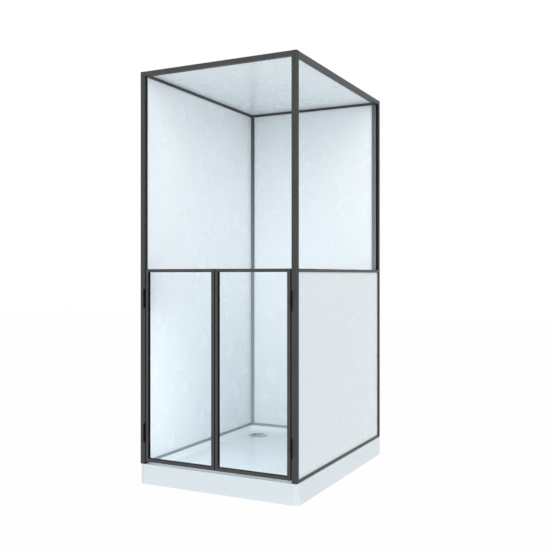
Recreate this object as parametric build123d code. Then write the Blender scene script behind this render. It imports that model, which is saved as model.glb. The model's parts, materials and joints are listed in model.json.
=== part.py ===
from build123d import *
import os

# A free-standing shower cubicle: a white tray on levelling feet, an anthracite frame with white
# panels on the left, the back, the ceiling and the lower right side, and two half-height glass doors.
# Millimetres. X runs right along the door side, Y runs to the back, Z is up.
# The origin is on the floor, under the middle of the frame.

# Overall sizes
FRAME_W = 885.0
FRAME_D = 1182.0
FRAME_TOP = 2113.5
TRAY_H = 102.0
TRAY_SIDE = 7.5
TRAY_FRONT = 1.0
TRAY_BACK = 3.0

# Frame extrusions
POST_W = 27.0
POST_D = 25.0
TOP_RAIL_H = 23.0
LOW_RAIL_H = 12.5
MID_RAIL_H = 16.0
WALL = 1.8
EDGE_R = 1.0
CAP_T = 2.0
CAP_PLUG = 9.0
POST_SLOT_DEPTH = 9.0
RAIL_SLOT_DEPTH = 7.0

# Panels and the slots that hold them
WALL_PANEL_T = 4.0
WALL_LIP = 6.5
SIDE_PANEL_T = 5.0
SIDE_LIP = 6.2
SIDE_SLOT = 8.9
PANEL_FIT = 0.3
PANEL_END = 1.0
CEILING_DOWN = 8.6
FLANGE_T = 1.4
FLANGE_D = 15.0
CHANNEL_WEB = 3.0

# Half-height doors
DOOR_TOP = 1100.5
DOOR_GAP = 12.0
HINGE_GAP = 5.2
MEET_GAP = 4.4
STILE_W = 16.7
DOOR_T = 18.0
DOOR_TOP_RAIL = 14.0
DOOR_LOW_RAIL = 18.0
DOOR_WALL = 1.5
DOOR_EDGE_R = 0.8
GLASS_T = 5.0
GROOVE = 5.5
GLASS_GRIP = 4.2
GASKET_T = 1.1
GASKET_FIT = 0.1
GASKET_LIP = 2.0
KEY_L = 22.0
KEY_FIT = 0.15
SEAL_CLEAR = 0.5
SEAL_T = 3.0
MAGNET_T = 1.6
MAGNET_W = 8.0

# Hinges
HINGE_FROM_END = 150.0
HINGE_L = 84.0
HINGE_TIP = 7.0
HINGE_TIP_R = 2.4
KNUCKLE_R = 4.2
KNUCKLE_OUT = 4.5
PIVOT_IN = 1.5
KNUCKLE_L = 26.0
KNUCKLE_FIT = 0.3
LEAF_T = 1.5
LEAF_D = 13.0
JOG_HALF = 1.0
PIN_R = 2.5
PIN_FIT = 0.05
HINGE_SCREW_R = 1.6
HINGE_SCREW_HEAD_R = 3.1
HINGE_SCREW_UP = 28.0
HINGE_SCREW_IN = 7.0
CORNER_HEAD_R = 2.6
SCREW_FIT = 0.05
SCREW_PAST = 3.0

# Rail connectors and their screws
CONNECTOR_L = 25.0
CONNECTOR_BASE = 6.0
CONNECTOR_FIT = 0.15
FRAME_SCREW_R = 2.0
FRAME_HEAD_R = 3.5
FRAME_HEAD_H = 3.5
FRAME_SCREW_PAST = 2.0
HEAD_FIT = 0.2
ANCHOR_H = 24.0
ANCHOR_BASE = 1.5
ANCHOR_BOLT_R = 2.5
ANCHOR_BOLT_IN = 5.2
ANCHOR_HEAD_R = 4.0
ANCHOR_HEAD_H = 2.5
NUT_H = 4.0
NUT_R = 4.6
CHANNEL_SCREWS = 3
CHANNEL_SCREW_IN = 120.0

# Tray
TRAY_R = 32.0
SKIN = 5.0
RIM_T = 6.0
RIM_W = 45.0
BASIN_R = 40.0
BASIN_SLOPE = 12.0
RIM_EDGE_R = 3.0
FLOOR_HIGH = 82.0
FLOOR_LOW = 74.0
FALL_R = 1000.0
UNDERSIDE = 66.0
PIPE_NOTCH_W = 70.0
PIPE_NOTCH_H = 62.0

# Base board and feet
BOARD_T = 12.0
BOARD_IN = 70.0
BOARD_HOLE_R = 85.0
PLATE_SIDE = 60.0
PLATE_T = 4.0
STUD_R = 6.0
STUD_FIT = 0.1
STUD_IN_BOARD = 10.0
LOCK_NUT_R = 10.4
LOCK_NUT_H = 8.0
PAD_R = 22.0
PAD_H = 8.0
PAD_FLOOR = 3.0
PAD_CHAMFER = 2.0
FOOT_IN = 46.0
FOOT_PAST_WASTE = 170.0

# Waste
WASTE_FROM_SIDE = 160.4
WASTE_FROM_BACK = 180.6
WASTE_HOLE_R = 45.0
RECESS_R = 58.0
RECESS_DEPTH = 3.0
WASTE_FLANGE_R = 56.0
WASTE_TUBE_R = 43.0
WASTE_BORE_R = 38.0
WASTE_TUBE_LOW = 46.0
LEDGE_R = 34.5
LEDGE_LOW = 60.0
LEDGE_H = 2.0
CUP_R = 34.2
CUP_BORE_R = 32.0
CUP_LOW = 22.0
CUP_RIM_R = 37.7
CUP_RIM_H = 2.0
TRAP_R = 50.0
TRAP_BORE_R = 43.1
TRAP_LOW = 8.0
TRAP_FLOOR = 4.0
TRAP_RIM_R = 56.0
TRAP_RIM_H = 4.0
GASKET_H = 3.0
OUTLET_R = 20.0
OUTLET_BORE_R = 17.5
OUTLET_COLLAR_R = 23.0
OUTLET_COLLAR_L = 12.0
OUTLET_Z = 30.0
OUTLET_FROM_BACK = 36.0
COVER_R = 52.0
COVER_EDGE = 2.0
COVER_DOME = 3.5
COVER_LIFT = 2.0
COVER_PEG_R = 3.0
COVER_PEG_AT = 47.0
COVER_PEGS = 3
COVER_RING_R = 37.0
COVER_RING_T = 2.5
COVER_RING_DOWN = 6.0

# Sizes that follow from the ones above
HALF_W = FRAME_W / 2
HALF_D = FRAME_D / 2
WALL_SLOT = WALL_PANEL_T + 2 * PANEL_FIT
LEFT_SLOT = (POST_W - WALL_LIP - WALL_SLOT, POST_W - WALL_LIP)
BACK_SLOT = (POST_D - WALL_LIP - WALL_SLOT, POST_D - WALL_LIP)
LEFT_WEB = LEFT_SLOT[0] - WALL
BACK_WEB = BACK_SLOT[0] - WALL
FRONT_WEB = WALL_LIP + WALL_SLOT + WALL
CHANNEL_W = SIDE_LIP + SIDE_SLOT
SIDE_WEB = CHANNEL_W + WALL
BACK_POST_W = CHANNEL_W + POST_W
TOP_RAIL_LOW = FRAME_TOP - TOP_RAIL_H
POST_TOP = FRAME_TOP - CAP_T
CEILING_Z = FRAME_TOP - CEILING_DOWN
MID_RAIL_LOW = DOOR_TOP - MID_RAIL_H
FACE_Y = -HALF_D
HINGE_X = HALF_W - POST_W - HINGE_GAP
DOOR_W = HINGE_X - MEET_GAP / 2
DOOR_LOW = TRAY_H + DOOR_GAP
LEFT_POST_X = (-HALF_W, -HALF_W + POST_W)
RIGHT_POST_X = (HALF_W - POST_W, HALF_W)
FRONT_POST_Y = (-HALF_D, -HALF_D + POST_D)
BACK_POST_Y = (HALF_D - POST_D, HALF_D)
POST_CORNERS = (
    (LEFT_POST_X, FRONT_POST_Y),
    (RIGHT_POST_X, FRONT_POST_Y),
    ((-HALF_W, -HALF_W + BACK_POST_W), BACK_POST_Y),
    ((HALF_W - BACK_POST_W, HALF_W), BACK_POST_Y),
)
PIVOT_X = HALF_W - POST_W + PIVOT_IN
PIVOT_Y = FACE_Y - KNUCKLE_OUT
HINGE_HEIGHTS = (DOOR_LOW + HINGE_FROM_END, DOOR_TOP - HINGE_FROM_END)
GLASS_MID = DOOR_T / 2
GROOVE_W = GLASS_T + 2 * (GASKET_T + GASKET_FIT)
RECESS_Z = FLOOR_LOW - RECESS_DEPTH
BOARD_LOW = UNDERSIDE - BOARD_T
PLATE_LOW = BOARD_LOW - PLATE_T
TRAP_TOP = UNDERSIDE - GASKET_H
TRAY_X = HALF_W + TRAY_SIDE
TRAY_FRONT_Y = -HALF_D - TRAY_FRONT
TRAY_BACK_Y = HALF_D + TRAY_BACK
WASTE_X = WASTE_FROM_SIDE - TRAY_X
WASTE_Y = TRAY_BACK_Y - WASTE_FROM_BACK
OUTLET_END = TRAY_BACK_Y - OUTLET_FROM_BACK
BOARD_X = TRAY_X - BOARD_IN
BOARD_Y = (TRAY_FRONT_Y + BOARD_IN, TRAY_BACK_Y - BOARD_IN)
FOOT_X = BOARD_X - FOOT_IN
FOOT_FRONT_Y = BOARD_Y[0] + FOOT_IN
FOOT_BACK_Y = BOARD_Y[1] - FOOT_IN
FOOT_PLACES = (
    (-FOOT_X, FOOT_FRONT_Y),
    (FOOT_X, FOOT_FRONT_Y),
    (-FOOT_X, 0),
    (FOOT_X, 0),
    (WASTE_X + FOOT_PAST_WASTE, FOOT_BACK_Y),
    (FOOT_X, FOOT_BACK_Y),
)


def block(x, y, z):
    """A rectangular block from its two ends along X, Y and Z."""
    spans = [sorted(ends) for ends in (x, y, z)]
    middle = [(low + high) / 2 for low, high in spans]
    size = [high - low for low, high in spans]
    return Pos(*middle) * Box(*size)


def disc(x, y, z, radius):
    """An upright cylinder between two heights."""
    low, high = z
    return Pos(x, y, (low + high) / 2) * Cylinder(radius, high - low)


def rod(start, direction, length, radius):
    """A cylinder from a point along a direction."""
    plane = Plane(origin=start, z_dir=direction)
    return extrude(plane * Circle(radius), amount=length)


def along(point, direction, distance):
    """The point at a distance from another along a direction."""
    return tuple(p + d * distance for p, d in zip(point, direction))


def group(solids):
    """Several separate solids as one sub-part."""
    return Compound(children=list(solids))


def mirrored(span, width, flip):
    """A span across an extrusion, counted from its other side where flip is set."""
    low, high = span
    return (width - high, width - low) if flip else (low, high)


def section(width, height, cuts, radius, flip_width=False, flip_height=False):
    """A rectangular extrusion's section, its low corner at the origin, less its slots and chambers."""
    face = Pos(width / 2, height / 2) * RectangleRounded(width, height, radius)
    for across, up in cuts:
        a = mirrored(across, width, flip_width)
        b = mirrored(up, height, flip_height)
        face -= Pos(sum(a) / 2, sum(b) / 2) * Rectangle(a[1] - a[0], b[1] - b[0])
    return face


def upright(face, x, y, z):
    """A section in plan, extruded between two heights."""
    return Pos(x, y, z[0]) * extrude(face, amount=z[1] - z[0])


def lengthwise(face, x, y, z):
    """A section extruded to the back, between two places along Y."""
    return Pos(x, y[0], z) * extrude(Plane.XZ * face, amount=-(y[1] - y[0]))


def crosswise(face, x, y, z):
    """A section extruded to the right, between two places along X."""
    return Pos(x[0], y, z) * extrude(Plane.YZ * face, amount=x[1] - x[0])


# Frame sections. Every cut is a span from the outer face and a span from the outer or lower face.

def wall_post_cuts():
    """Front post on the left: a slot in its back for the left wall panel, and two chambers."""
    return [
        (LEFT_SLOT, (POST_D - POST_SLOT_DEPTH, POST_D)),
        ((WALL, LEFT_WEB), (WALL, POST_D - WALL)),
        ((LEFT_SLOT[0], POST_W - WALL), (WALL, POST_D - POST_SLOT_DEPTH - WALL)),
    ]


def side_post_cuts():
    """Front post on the right: one wider slot in its back for the side panel, and two chambers."""
    return [
        ((SIDE_LIP, CHANNEL_W), (POST_D - POST_SLOT_DEPTH, POST_D)),
        ((SIDE_WEB, POST_W - WALL), (WALL, POST_D - WALL)),
        ((WALL, CHANNEL_W), (WALL, POST_D - POST_SLOT_DEPTH - WALL)),
    ]


def corner_post_cuts():
    """Back post on the left: slots for the left and the back wall panels, and three chambers."""
    return [
        (LEFT_SLOT, (POST_D - POST_SLOT_DEPTH, POST_D)),
        ((BACK_POST_W - POST_SLOT_DEPTH, BACK_POST_W), BACK_SLOT),
        ((WALL, LEFT_WEB), (WALL, POST_D - WALL)),
        ((LEFT_SLOT[0], BACK_POST_W - WALL), (WALL, BACK_WEB)),
        ((LEFT_SLOT[1] + WALL, BACK_POST_W - POST_SLOT_DEPTH - WALL), (BACK_SLOT[0], POST_D - WALL)),
    ]


def back_right_post_cuts():
    """Back post on the right: a slot for the back wall panel, and two chambers."""
    return [
        ((POST_W - POST_SLOT_DEPTH, POST_W), BACK_SLOT),
        ((WALL, POST_W - WALL), (WALL, BACK_WEB)),
        ((WALL, POST_W - POST_SLOT_DEPTH - WALL), (BACK_SLOT[0], POST_D - WALL)),
    ]


def ceiling_slot():
    """Span of the ceiling's slot in a top rail's height."""
    low = CEILING_Z - PANEL_FIT - TOP_RAIL_LOW
    return (low, low + WALL_SLOT)


def walled_top_rail_cuts(width, panel_slot, web):
    """Top rail over a wall: the ceiling's slot inside, the wall's slot below, and two chambers."""
    slot = ceiling_slot()
    return [
        ((width - POST_SLOT_DEPTH, width), slot),
        (panel_slot, (0, POST_SLOT_DEPTH)),
        ((WALL, web), (WALL, slot[0] - WALL)),
        ((WALL, width - POST_SLOT_DEPTH - WALL), (slot[0], TOP_RAIL_H - WALL)),
    ]


def open_top_rail_cuts(width, web):
    """Top rail over an opening: the ceiling's slot inside, and two chambers."""
    slot = ceiling_slot()
    return [
        ((width - POST_SLOT_DEPTH, width), slot),
        ((web, width - WALL), (WALL, slot[0] - WALL)),
        ((WALL, web - WALL), (WALL, TOP_RAIL_H - WALL)),
    ]


def bottom_rail_cuts(panel_slot, chamber):
    """Bottom rail: a panel slot above, and the connector's chamber beside it."""
    return [
        (panel_slot, (LOW_RAIL_H - RAIL_SLOT_DEPTH, LOW_RAIL_H)),
        (chamber, (WALL, LOW_RAIL_H - WALL)),
    ]


SIDE_SLOT_SPAN = (SIDE_LIP, CHANNEL_W)
SIDE_CHAMBER_SPAN = (SIDE_WEB, POST_W - WALL)
LENGTH_SPAN = (-HALF_D + POST_D, HALF_D - POST_D)
FRONT_SPAN = (-HALF_W + POST_W, HALF_W - POST_W)
BACK_SPAN = (-HALF_W + BACK_POST_W, HALF_W - BACK_POST_W)
TOP_CHAMBER_Z = (TOP_RAIL_LOW + WALL, CEILING_Z - PANEL_FIT - WALL)


def left_rail(cuts, height, z):
    face = section(POST_W, height, cuts, EDGE_R)
    return lengthwise(face, -HALF_W, LENGTH_SPAN, z)


def right_rail(cuts, height, z):
    face = section(POST_W, height, cuts, EDGE_R, flip_width=True)
    return lengthwise(face, HALF_W - POST_W, LENGTH_SPAN, z)


def front_rail(cuts, height, z):
    face = section(POST_D, height, cuts, EDGE_R)
    return crosswise(face, FRONT_SPAN, -HALF_D, z)


def back_rail(cuts, height, z):
    face = section(POST_D, height, cuts, EDGE_R, flip_width=True)
    return crosswise(face, BACK_SPAN, HALF_D - POST_D, z)


def mid_rail():
    """Rail over the side panel, with a tongue that closes the gap between the two side channels."""
    cuts = [
        (SIDE_SLOT_SPAN, (0, RAIL_SLOT_DEPTH)),
        (SIDE_CHAMBER_SPAN, (WALL, MID_RAIL_H - WALL)),
    ]
    rail = right_rail(cuts, MID_RAIL_H, MID_RAIL_LOW)
    tongue = block(
        (HALF_W - CHANNEL_W, HALF_W),
        (HALF_D - POST_D, HALF_D),
        (MID_RAIL_LOW, DOOR_TOP),
    )
    rail += fillet(tongue.edges().filter_by(Axis.Y).group_by(Axis.X)[-1], EDGE_R)
    return rail - block(
        (HALF_W - CHANNEL_W, HALF_W - SIDE_LIP),
        (HALF_D - POST_D, SIDE_PANEL_Y[1] + PANEL_END),
        (MID_RAIL_LOW, MID_RAIL_LOW + RAIL_SLOT_DEPTH),
    )


def side_channel(z):
    """Full-depth channel beside the back right post: outer lip, web, and a flange on the post."""
    x = HALF_W - CHANNEL_W
    lip = section(
        SIDE_LIP,
        POST_D,
        [((WALL, SIDE_LIP - WALL), (WALL, POST_D - WALL))],
        EDGE_R,
    )
    channel = upright(lip, HALF_W - SIDE_LIP, HALF_D - POST_D, z)
    channel += block((x, HALF_W - SIDE_LIP + WALL / 2), (HALF_D - CHANNEL_WEB, HALF_D - EDGE_R), z)
    channel += block((x, x + FLANGE_T), (HALF_D - FLANGE_D, HALF_D - EDGE_R), z)
    return channel


# Rail ends: the connector in each rail's chamber, and the screw that holds it to the post

def y_rail_ends(x_span, z_span):
    """Both ends of a rail that runs along Y, as a start point and the way out to the post."""
    mid = (sum(x_span) / 2, sum(z_span) / 2)
    return [
        ((mid[0], LENGTH_SPAN[0], mid[1]), (0, -1, 0), x_span, z_span),
        ((mid[0], LENGTH_SPAN[1], mid[1]), (0, 1, 0), x_span, z_span),
    ]


def x_rail_ends(x_ends, y_span, z_span):
    """Both ends of a rail that runs along X."""
    mid = (sum(y_span) / 2, sum(z_span) / 2)
    return [
        ((x_ends[0], mid[0], mid[1]), (-1, 0, 0), y_span, z_span),
        ((x_ends[1], mid[0], mid[1]), (1, 0, 0), y_span, z_span),
    ]


LEFT_CHAMBER = (-HALF_W + WALL, -HALF_W + LEFT_WEB)
RIGHT_CHAMBER = (HALF_W - POST_W + WALL, HALF_W - SIDE_WEB)
FRONT_CHAMBER = (-HALF_D + FRONT_WEB, -HALF_D + POST_D - WALL)
BACK_CHAMBER = (HALF_D - BACK_WEB, HALF_D - WALL)
LOW_CHAMBER_Z = (TRAY_H + WALL, TRAY_H + LOW_RAIL_H - WALL)
MID_CHAMBER_Z = (MID_RAIL_LOW + WALL, DOOR_TOP - WALL)

RAIL_ENDS = (
    y_rail_ends(LEFT_CHAMBER, TOP_CHAMBER_Z)
    + y_rail_ends(RIGHT_CHAMBER, TOP_CHAMBER_Z)
    + y_rail_ends(LEFT_CHAMBER, LOW_CHAMBER_Z)
    + y_rail_ends(RIGHT_CHAMBER, LOW_CHAMBER_Z)
    + y_rail_ends(RIGHT_CHAMBER, MID_CHAMBER_Z)
    + x_rail_ends(FRONT_SPAN, FRONT_CHAMBER, TOP_CHAMBER_Z)
    + x_rail_ends(BACK_SPAN, BACK_CHAMBER, TOP_CHAMBER_Z)
    + x_rail_ends(BACK_SPAN, BACK_CHAMBER, LOW_CHAMBER_Z)
)


def connector(end):
    """A block that fills a rail's chamber, bored for the screw that goes out into the post."""
    point, out, across, up = end
    back = tuple(-d for d in out)
    across_in = (across[0] + CONNECTOR_FIT, across[1] - CONNECTOR_FIT)
    up_in = (up[0] + CONNECTOR_FIT, up[1] - CONNECTOR_FIT)
    far = along(point, back, CONNECTOR_L)
    if out[0]:
        body = block((point[0], far[0]), across_in, up_in)
    else:
        body = block(across_in, (point[1], far[1]), up_in)
    body -= rod(point, back, CONNECTOR_L, FRAME_SCREW_R + SCREW_FIT)
    seat = along(point, back, CONNECTOR_BASE)
    return body - rod(seat, back, CONNECTOR_L, FRAME_HEAD_R + HEAD_FIT)


def frame_screw(end):
    """The screw of one connector: its head on the connector's base, its point in the post."""
    point, out, _, _ = end
    back = tuple(-d for d in out)
    seat = along(point, back, CONNECTOR_BASE)
    shank = rod(seat, out, CONNECTOR_BASE + WALL + FRAME_SCREW_PAST, FRAME_SCREW_R)
    head = rod(seat, back, FRAME_HEAD_H, FRAME_HEAD_R)
    return shank + head


def frame_screw_holes():
    """The holes that the connectors' screws need in the posts and the anchors."""
    reach = WALL + FRAME_SCREW_PAST + SCREW_FIT
    return [rod(point, out, reach, FRAME_SCREW_R + SCREW_FIT) for point, out, _, _ in RAIL_ENDS]


# Posts: chambers, anchors and caps, each placed from the post's own corner

def post_anchor_spots():
    """Each post's anchor: its chamber's spans, and its bolt's place near the chamber's inner end."""
    front = (-HALF_D + WALL, -HALF_D + POST_D - WALL)
    back_left = (-HALF_W + LEFT_SLOT[0], -HALF_W + BACK_POST_W - WALL)
    back_right = (HALF_W - BACK_POST_W + WALL, HALF_W - CHANNEL_W - WALL)
    front_bolt_y = front[1] - ANCHOR_BOLT_IN
    back_bolt_y = BACK_CHAMBER[0] + ANCHOR_BOLT_IN
    return [
        (LEFT_CHAMBER, front, (sum(LEFT_CHAMBER) / 2, front_bolt_y)),
        (RIGHT_CHAMBER, front, (sum(RIGHT_CHAMBER) / 2, front_bolt_y)),
        (back_left, BACK_CHAMBER, (sum(back_left) / 2, back_bolt_y)),
        (back_right, BACK_CHAMBER, (sum(back_right) / 2, back_bolt_y)),
    ]


def post_anchor(spot):
    """A plug in the foot of a post, bolted down to the tray's rim."""
    x, y, (bolt_x, bolt_y) = spot
    fitted_x = (x[0] + CONNECTOR_FIT, x[1] - CONNECTOR_FIT)
    fitted_y = (y[0] + CONNECTOR_FIT, y[1] - CONNECTOR_FIT)
    top = TRAY_H + ANCHOR_H
    plug = block(fitted_x, fitted_y, (TRAY_H, top))
    plug -= disc(bolt_x, bolt_y, (TRAY_H, top), ANCHOR_BOLT_R + SCREW_FIT)
    seat = TRAY_H + ANCHOR_BASE
    return plug - disc(bolt_x, bolt_y, (seat, top), ANCHOR_HEAD_R + HEAD_FIT)


def anchor_bolt(spot):
    """The bolt of one anchor, through the tray's rim."""
    bolt_x, bolt_y = spot[2]
    seat = TRAY_H + ANCHOR_BASE
    low = TRAY_H - RIM_T - NUT_H - ANCHOR_BOLT_R
    shank = disc(bolt_x, bolt_y, (low, seat), ANCHOR_BOLT_R)
    return shank + disc(bolt_x, bolt_y, (seat, seat + ANCHOR_HEAD_H), ANCHOR_HEAD_R)


def anchor_nut(spot):
    """The nut under the rim."""
    bolt_x, bolt_y = spot[2]
    top = TRAY_H - RIM_T
    nut = Pos(bolt_x, bolt_y, top - NUT_H) * extrude(RegularPolygon(NUT_R, 6), amount=NUT_H)
    return nut - disc(bolt_x, bolt_y, (top - NUT_H, top), ANCHOR_BOLT_R + SCREW_FIT)


def post_cap(x, y, spot):
    """A cap plate over a post's end, with a plug in its chamber."""
    plate = block(x, y, (POST_TOP, FRAME_TOP))
    plate = fillet(plate.edges().filter_by(Axis.Z), EDGE_R)
    chamber_x, chamber_y, _ = spot
    plug_x = (chamber_x[0] + CONNECTOR_FIT, chamber_x[1] - CONNECTOR_FIT)
    plug_y = (chamber_y[0] + CONNECTOR_FIT, chamber_y[1] - CONNECTOR_FIT)
    return plate + block(plug_x, plug_y, (POST_TOP - CAP_PLUG, POST_TOP))


def countersunk(point, direction, length, plate, grow=0.0):
    """A flat-headed screw, its head flush at the point. Grow makes the matching hole."""
    radius = HINGE_SCREW_R + grow
    shank = rod(point, direction, length + grow, radius)
    plane = Plane(origin=point, z_dir=direction)
    head = loft([
        plane * Circle(HINGE_SCREW_HEAD_R + grow),
        plane.offset(plate) * Circle(radius),
    ])
    return shank + head


LOWER_CHANNEL_Z = (TRAY_H, MID_RAIL_LOW)
UPPER_CHANNEL_Z = (DOOR_TOP, POST_TOP)


def channel_screws(grow=0.0):
    """Countersunk screws that hold each side channel's flange to the back right post."""
    x = HALF_W - CHANNEL_W + FLANGE_T
    y = HALF_D - (CHANNEL_WEB + FLANGE_D) / 2
    length = FLANGE_T + WALL + SCREW_PAST
    screws = []
    for low, high in (LOWER_CHANNEL_Z, UPPER_CHANNEL_Z):
        pitch = (high - low - 2 * CHANNEL_SCREW_IN) / (CHANNEL_SCREWS - 1)
        for step in range(CHANNEL_SCREWS):
            z = low + CHANNEL_SCREW_IN + step * pitch
            screws.append(countersunk((x, y, z), (-1, 0, 0), length, FLANGE_T, grow))
    return screws


# Doors. A span across a door is counted from its hinge side; side is -1 for the left, 1 for the right.

def door_x(side, span):
    return tuple(side * (HINGE_X - a) for a in span)


def door_y(span):
    return tuple(FACE_Y + b for b in span)


GROOVE_Y = (GLASS_MID - GROOVE_W / 2, GLASS_MID + GROOVE_W / 2)
CHAMBER_Y = (DOOR_WALL, DOOR_T - DOOR_WALL)
INNER_W = (STILE_W, DOOR_W - STILE_W)
INNER_Z = (DOOR_LOW + DOOR_LOW_RAIL, DOOR_TOP - DOOR_TOP_RAIL)
TOP_KEY_Z = (INNER_Z[1] + GROOVE + DOOR_WALL, DOOR_TOP - DOOR_WALL)
LOW_KEY_Z = (DOOR_LOW + DOOR_WALL, INNER_Z[0] - GROOVE - DOOR_WALL)


def door_stile(side, at_hinge):
    """A closed-ended stile with the glass groove on its inner side."""
    low = 0 if at_hinge else DOOR_W - STILE_W
    toward = (side > 0) != at_hinge
    cuts = [((STILE_W - GROOVE, STILE_W), GROOVE_Y)]
    face = section(STILE_W, DOOR_T, cuts, DOOR_EDGE_R, flip_width=not toward)
    x = min(door_x(side, (low, low + STILE_W)))
    stile = upright(face, x, FACE_Y, (DOOR_LOW, DOOR_TOP))
    chamber = (DOOR_WALL, STILE_W - GROOVE - DOOR_WALL)
    if not at_hinge:
        chamber = (DOOR_W - chamber[1], DOOR_W - chamber[0])
    hollow = block(
        door_x(side, chamber),
        door_y(CHAMBER_Y),
        (DOOR_LOW + DOOR_WALL, DOOR_TOP - DOOR_WALL),
    )
    return stile - hollow


def door_rail(side, z, groove_above, key_z):
    """A rail between the stiles, with the glass groove and a chamber for its keys."""
    height = z[1] - z[0]
    groove = (height - GROOVE, height) if groove_above else (0, GROOVE)
    chamber = (key_z[0] - z[0], key_z[1] - z[0])
    cuts = [(GROOVE_Y, groove), (CHAMBER_Y, chamber)]
    face = section(DOOR_T, height, cuts, DOOR_EDGE_R)
    x = sorted(door_x(side, INNER_W))
    return crosswise(face, x, FACE_Y, z[0])


def door_corners():
    """Each corner's chamber, the rail's end, and the way from the rail out through the stile."""
    corners = []
    for key_z in (TOP_KEY_Z, LOW_KEY_Z):
        corners.append((key_z, INNER_W[0], -1))
        corners.append((key_z, INNER_W[1], 1))
    return corners


def corner_key(side, corner):
    """A block in a rail's end that the stile is screwed to."""
    key_z, end, out = corner
    span = (end, end - out * KEY_L)
    y = (FACE_Y + CHAMBER_Y[0] + KEY_FIT, FACE_Y + CHAMBER_Y[1] - KEY_FIT)
    z = (key_z[0] + KEY_FIT, key_z[1] - KEY_FIT)
    key = block(door_x(side, span), y, z)
    start = (side * (HINGE_X - end), FACE_Y + GLASS_MID, sum(key_z) / 2)
    return key - rod(start, (side * out, 0, 0), KEY_L, HINGE_SCREW_R + SCREW_FIT)


def corner_screw(side, corner, grow=0.0):
    """The screw from inside a stile's chamber into the rail's key. Grow makes the matching hole."""
    key_z, end, out = corner
    head_at = end + out * GROOVE
    seat = (side * (HINGE_X - head_at - out * DOOR_WALL), FACE_Y + GLASS_MID, sum(key_z) / 2)
    inward = (side * out, 0, 0)
    shank = rod(seat, inward, GROOVE + DOOR_WALL + KEY_L / 2 + grow, HINGE_SCREW_R + grow)
    if grow:
        return shank
    back = (-side * out, 0, 0)
    return shank + rod(seat, back, HINGE_SCREW_R, CORNER_HEAD_R)


def corner_access(side, corner):
    """The hole in a stile's edge that the corner screw goes in by."""
    key_z, end, out = corner
    edge = end + out * STILE_W
    start = (side * (HINGE_X - edge), FACE_Y + GLASS_MID, sum(key_z) / 2)
    return rod(start, (side * out, 0, 0), DOOR_WALL, CORNER_HEAD_R + HEAD_FIT)


GLASS_SPAN = (INNER_W[0] - GLASS_GRIP, INNER_W[1] + GLASS_GRIP)
GLASS_Z = (INNER_Z[0] - GLASS_GRIP, INNER_Z[1] + GLASS_GRIP)


def door_glass(side):
    y = (GLASS_MID - GLASS_T / 2, GLASS_MID + GLASS_T / 2)
    return block(door_x(side, GLASS_SPAN), door_y(y), GLASS_Z)


def glazing_gasket(side):
    """Four U-shaped rubber strips round the glass, with a lip that stands out of the groove."""
    y = (GLASS_MID - GLASS_T / 2 - GASKET_T, GLASS_MID + GLASS_T / 2 + GASKET_T)
    back = GLASS_GRIP + GASKET_T
    outer_x = (INNER_W[0] - back, INNER_W[1] + back)
    outer_z = (INNER_Z[0] - back, INNER_Z[1] + back)
    inner_x = (INNER_W[0] + GASKET_LIP, INNER_W[1] - GASKET_LIP)
    inner_z = (INNER_Z[0] + GASKET_LIP, INNER_Z[1] - GASKET_LIP)
    pane = door_glass(side)
    strips = [
        (outer_x, (outer_z[0], inner_z[0])),
        (outer_x, (inner_z[1], outer_z[1])),
        ((outer_x[0], inner_x[0]), inner_z),
        ((inner_x[1], outer_x[1]), inner_z),
    ]
    return group(block(door_x(side, x), door_y(y), z) - pane for x, z in strips)


def hinge_seal(side):
    """Rubber strip that closes the gap between the hinge stile and the post."""
    x = (SEAL_CLEAR - HINGE_GAP, 0)
    y = (DOOR_T - DOOR_EDGE_R - SEAL_T, DOOR_T - DOOR_EDGE_R)
    return block(door_x(side, x), door_y(y), (DOOR_LOW, DOOR_TOP))


def magnet_seal(side):
    """Magnetic strip on the meeting stile's edge."""
    x = (DOOR_W, DOOR_W + MAGNET_T)
    y = ((DOOR_T - MAGNET_W) / 2, (DOOR_T + MAGNET_W) / 2)
    return block(door_x(side, x), door_y(y), (DOOR_LOW, DOOR_TOP))


# Hinges

def knuckle_spans(middle):
    """Heights of the post's two knuckles and of the door's one between them."""
    low = middle - HINGE_L / 2
    high = middle + HINGE_L / 2
    post = [(low, low + KNUCKLE_L), (high - KNUCKLE_L, high)]
    door = [(low + KNUCKLE_L + KNUCKLE_FIT, high - KNUCKLE_L - KNUCKLE_FIT)]
    return post, door


def pin_bore(side, middle):
    reach = HINGE_L / 2
    return disc(side * PIVOT_X, PIVOT_Y, (middle - reach, middle + reach), PIN_R + PIN_FIT)


def hinge_screw_points(side, x, middle):
    y = FACE_Y + HINGE_SCREW_IN
    return [(side * x, y, middle + up) for up in (-HINGE_SCREW_UP, HINGE_SCREW_UP)]


POST_LEAF_X = HALF_W - POST_W - LEAF_T
DOOR_LEAF_X = HINGE_X + LEAF_T


def post_leaf(side, middle):
    """Leaf on the post's inner side, joined to its two knuckles."""
    x = (side * POST_LEAF_X, side * (HALF_W - POST_W))
    ends = (middle - HINGE_L / 2, middle + HINGE_L / 2)
    leaf = block(x, (FACE_Y, FACE_Y + LEAF_D), ends)
    for z in knuckle_spans(middle)[0]:
        leaf += block(x, (PIVOT_Y, FACE_Y), z)
        leaf += disc(side * PIVOT_X, PIVOT_Y, z, KNUCKLE_R)
    leaf -= pin_bore(side, middle)
    for point in hinge_screw_points(side, POST_LEAF_X, middle):
        leaf -= countersunk(point, (side, 0, 0), LEAF_T, LEAF_T, grow=SCREW_FIT)
    return leaf


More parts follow.
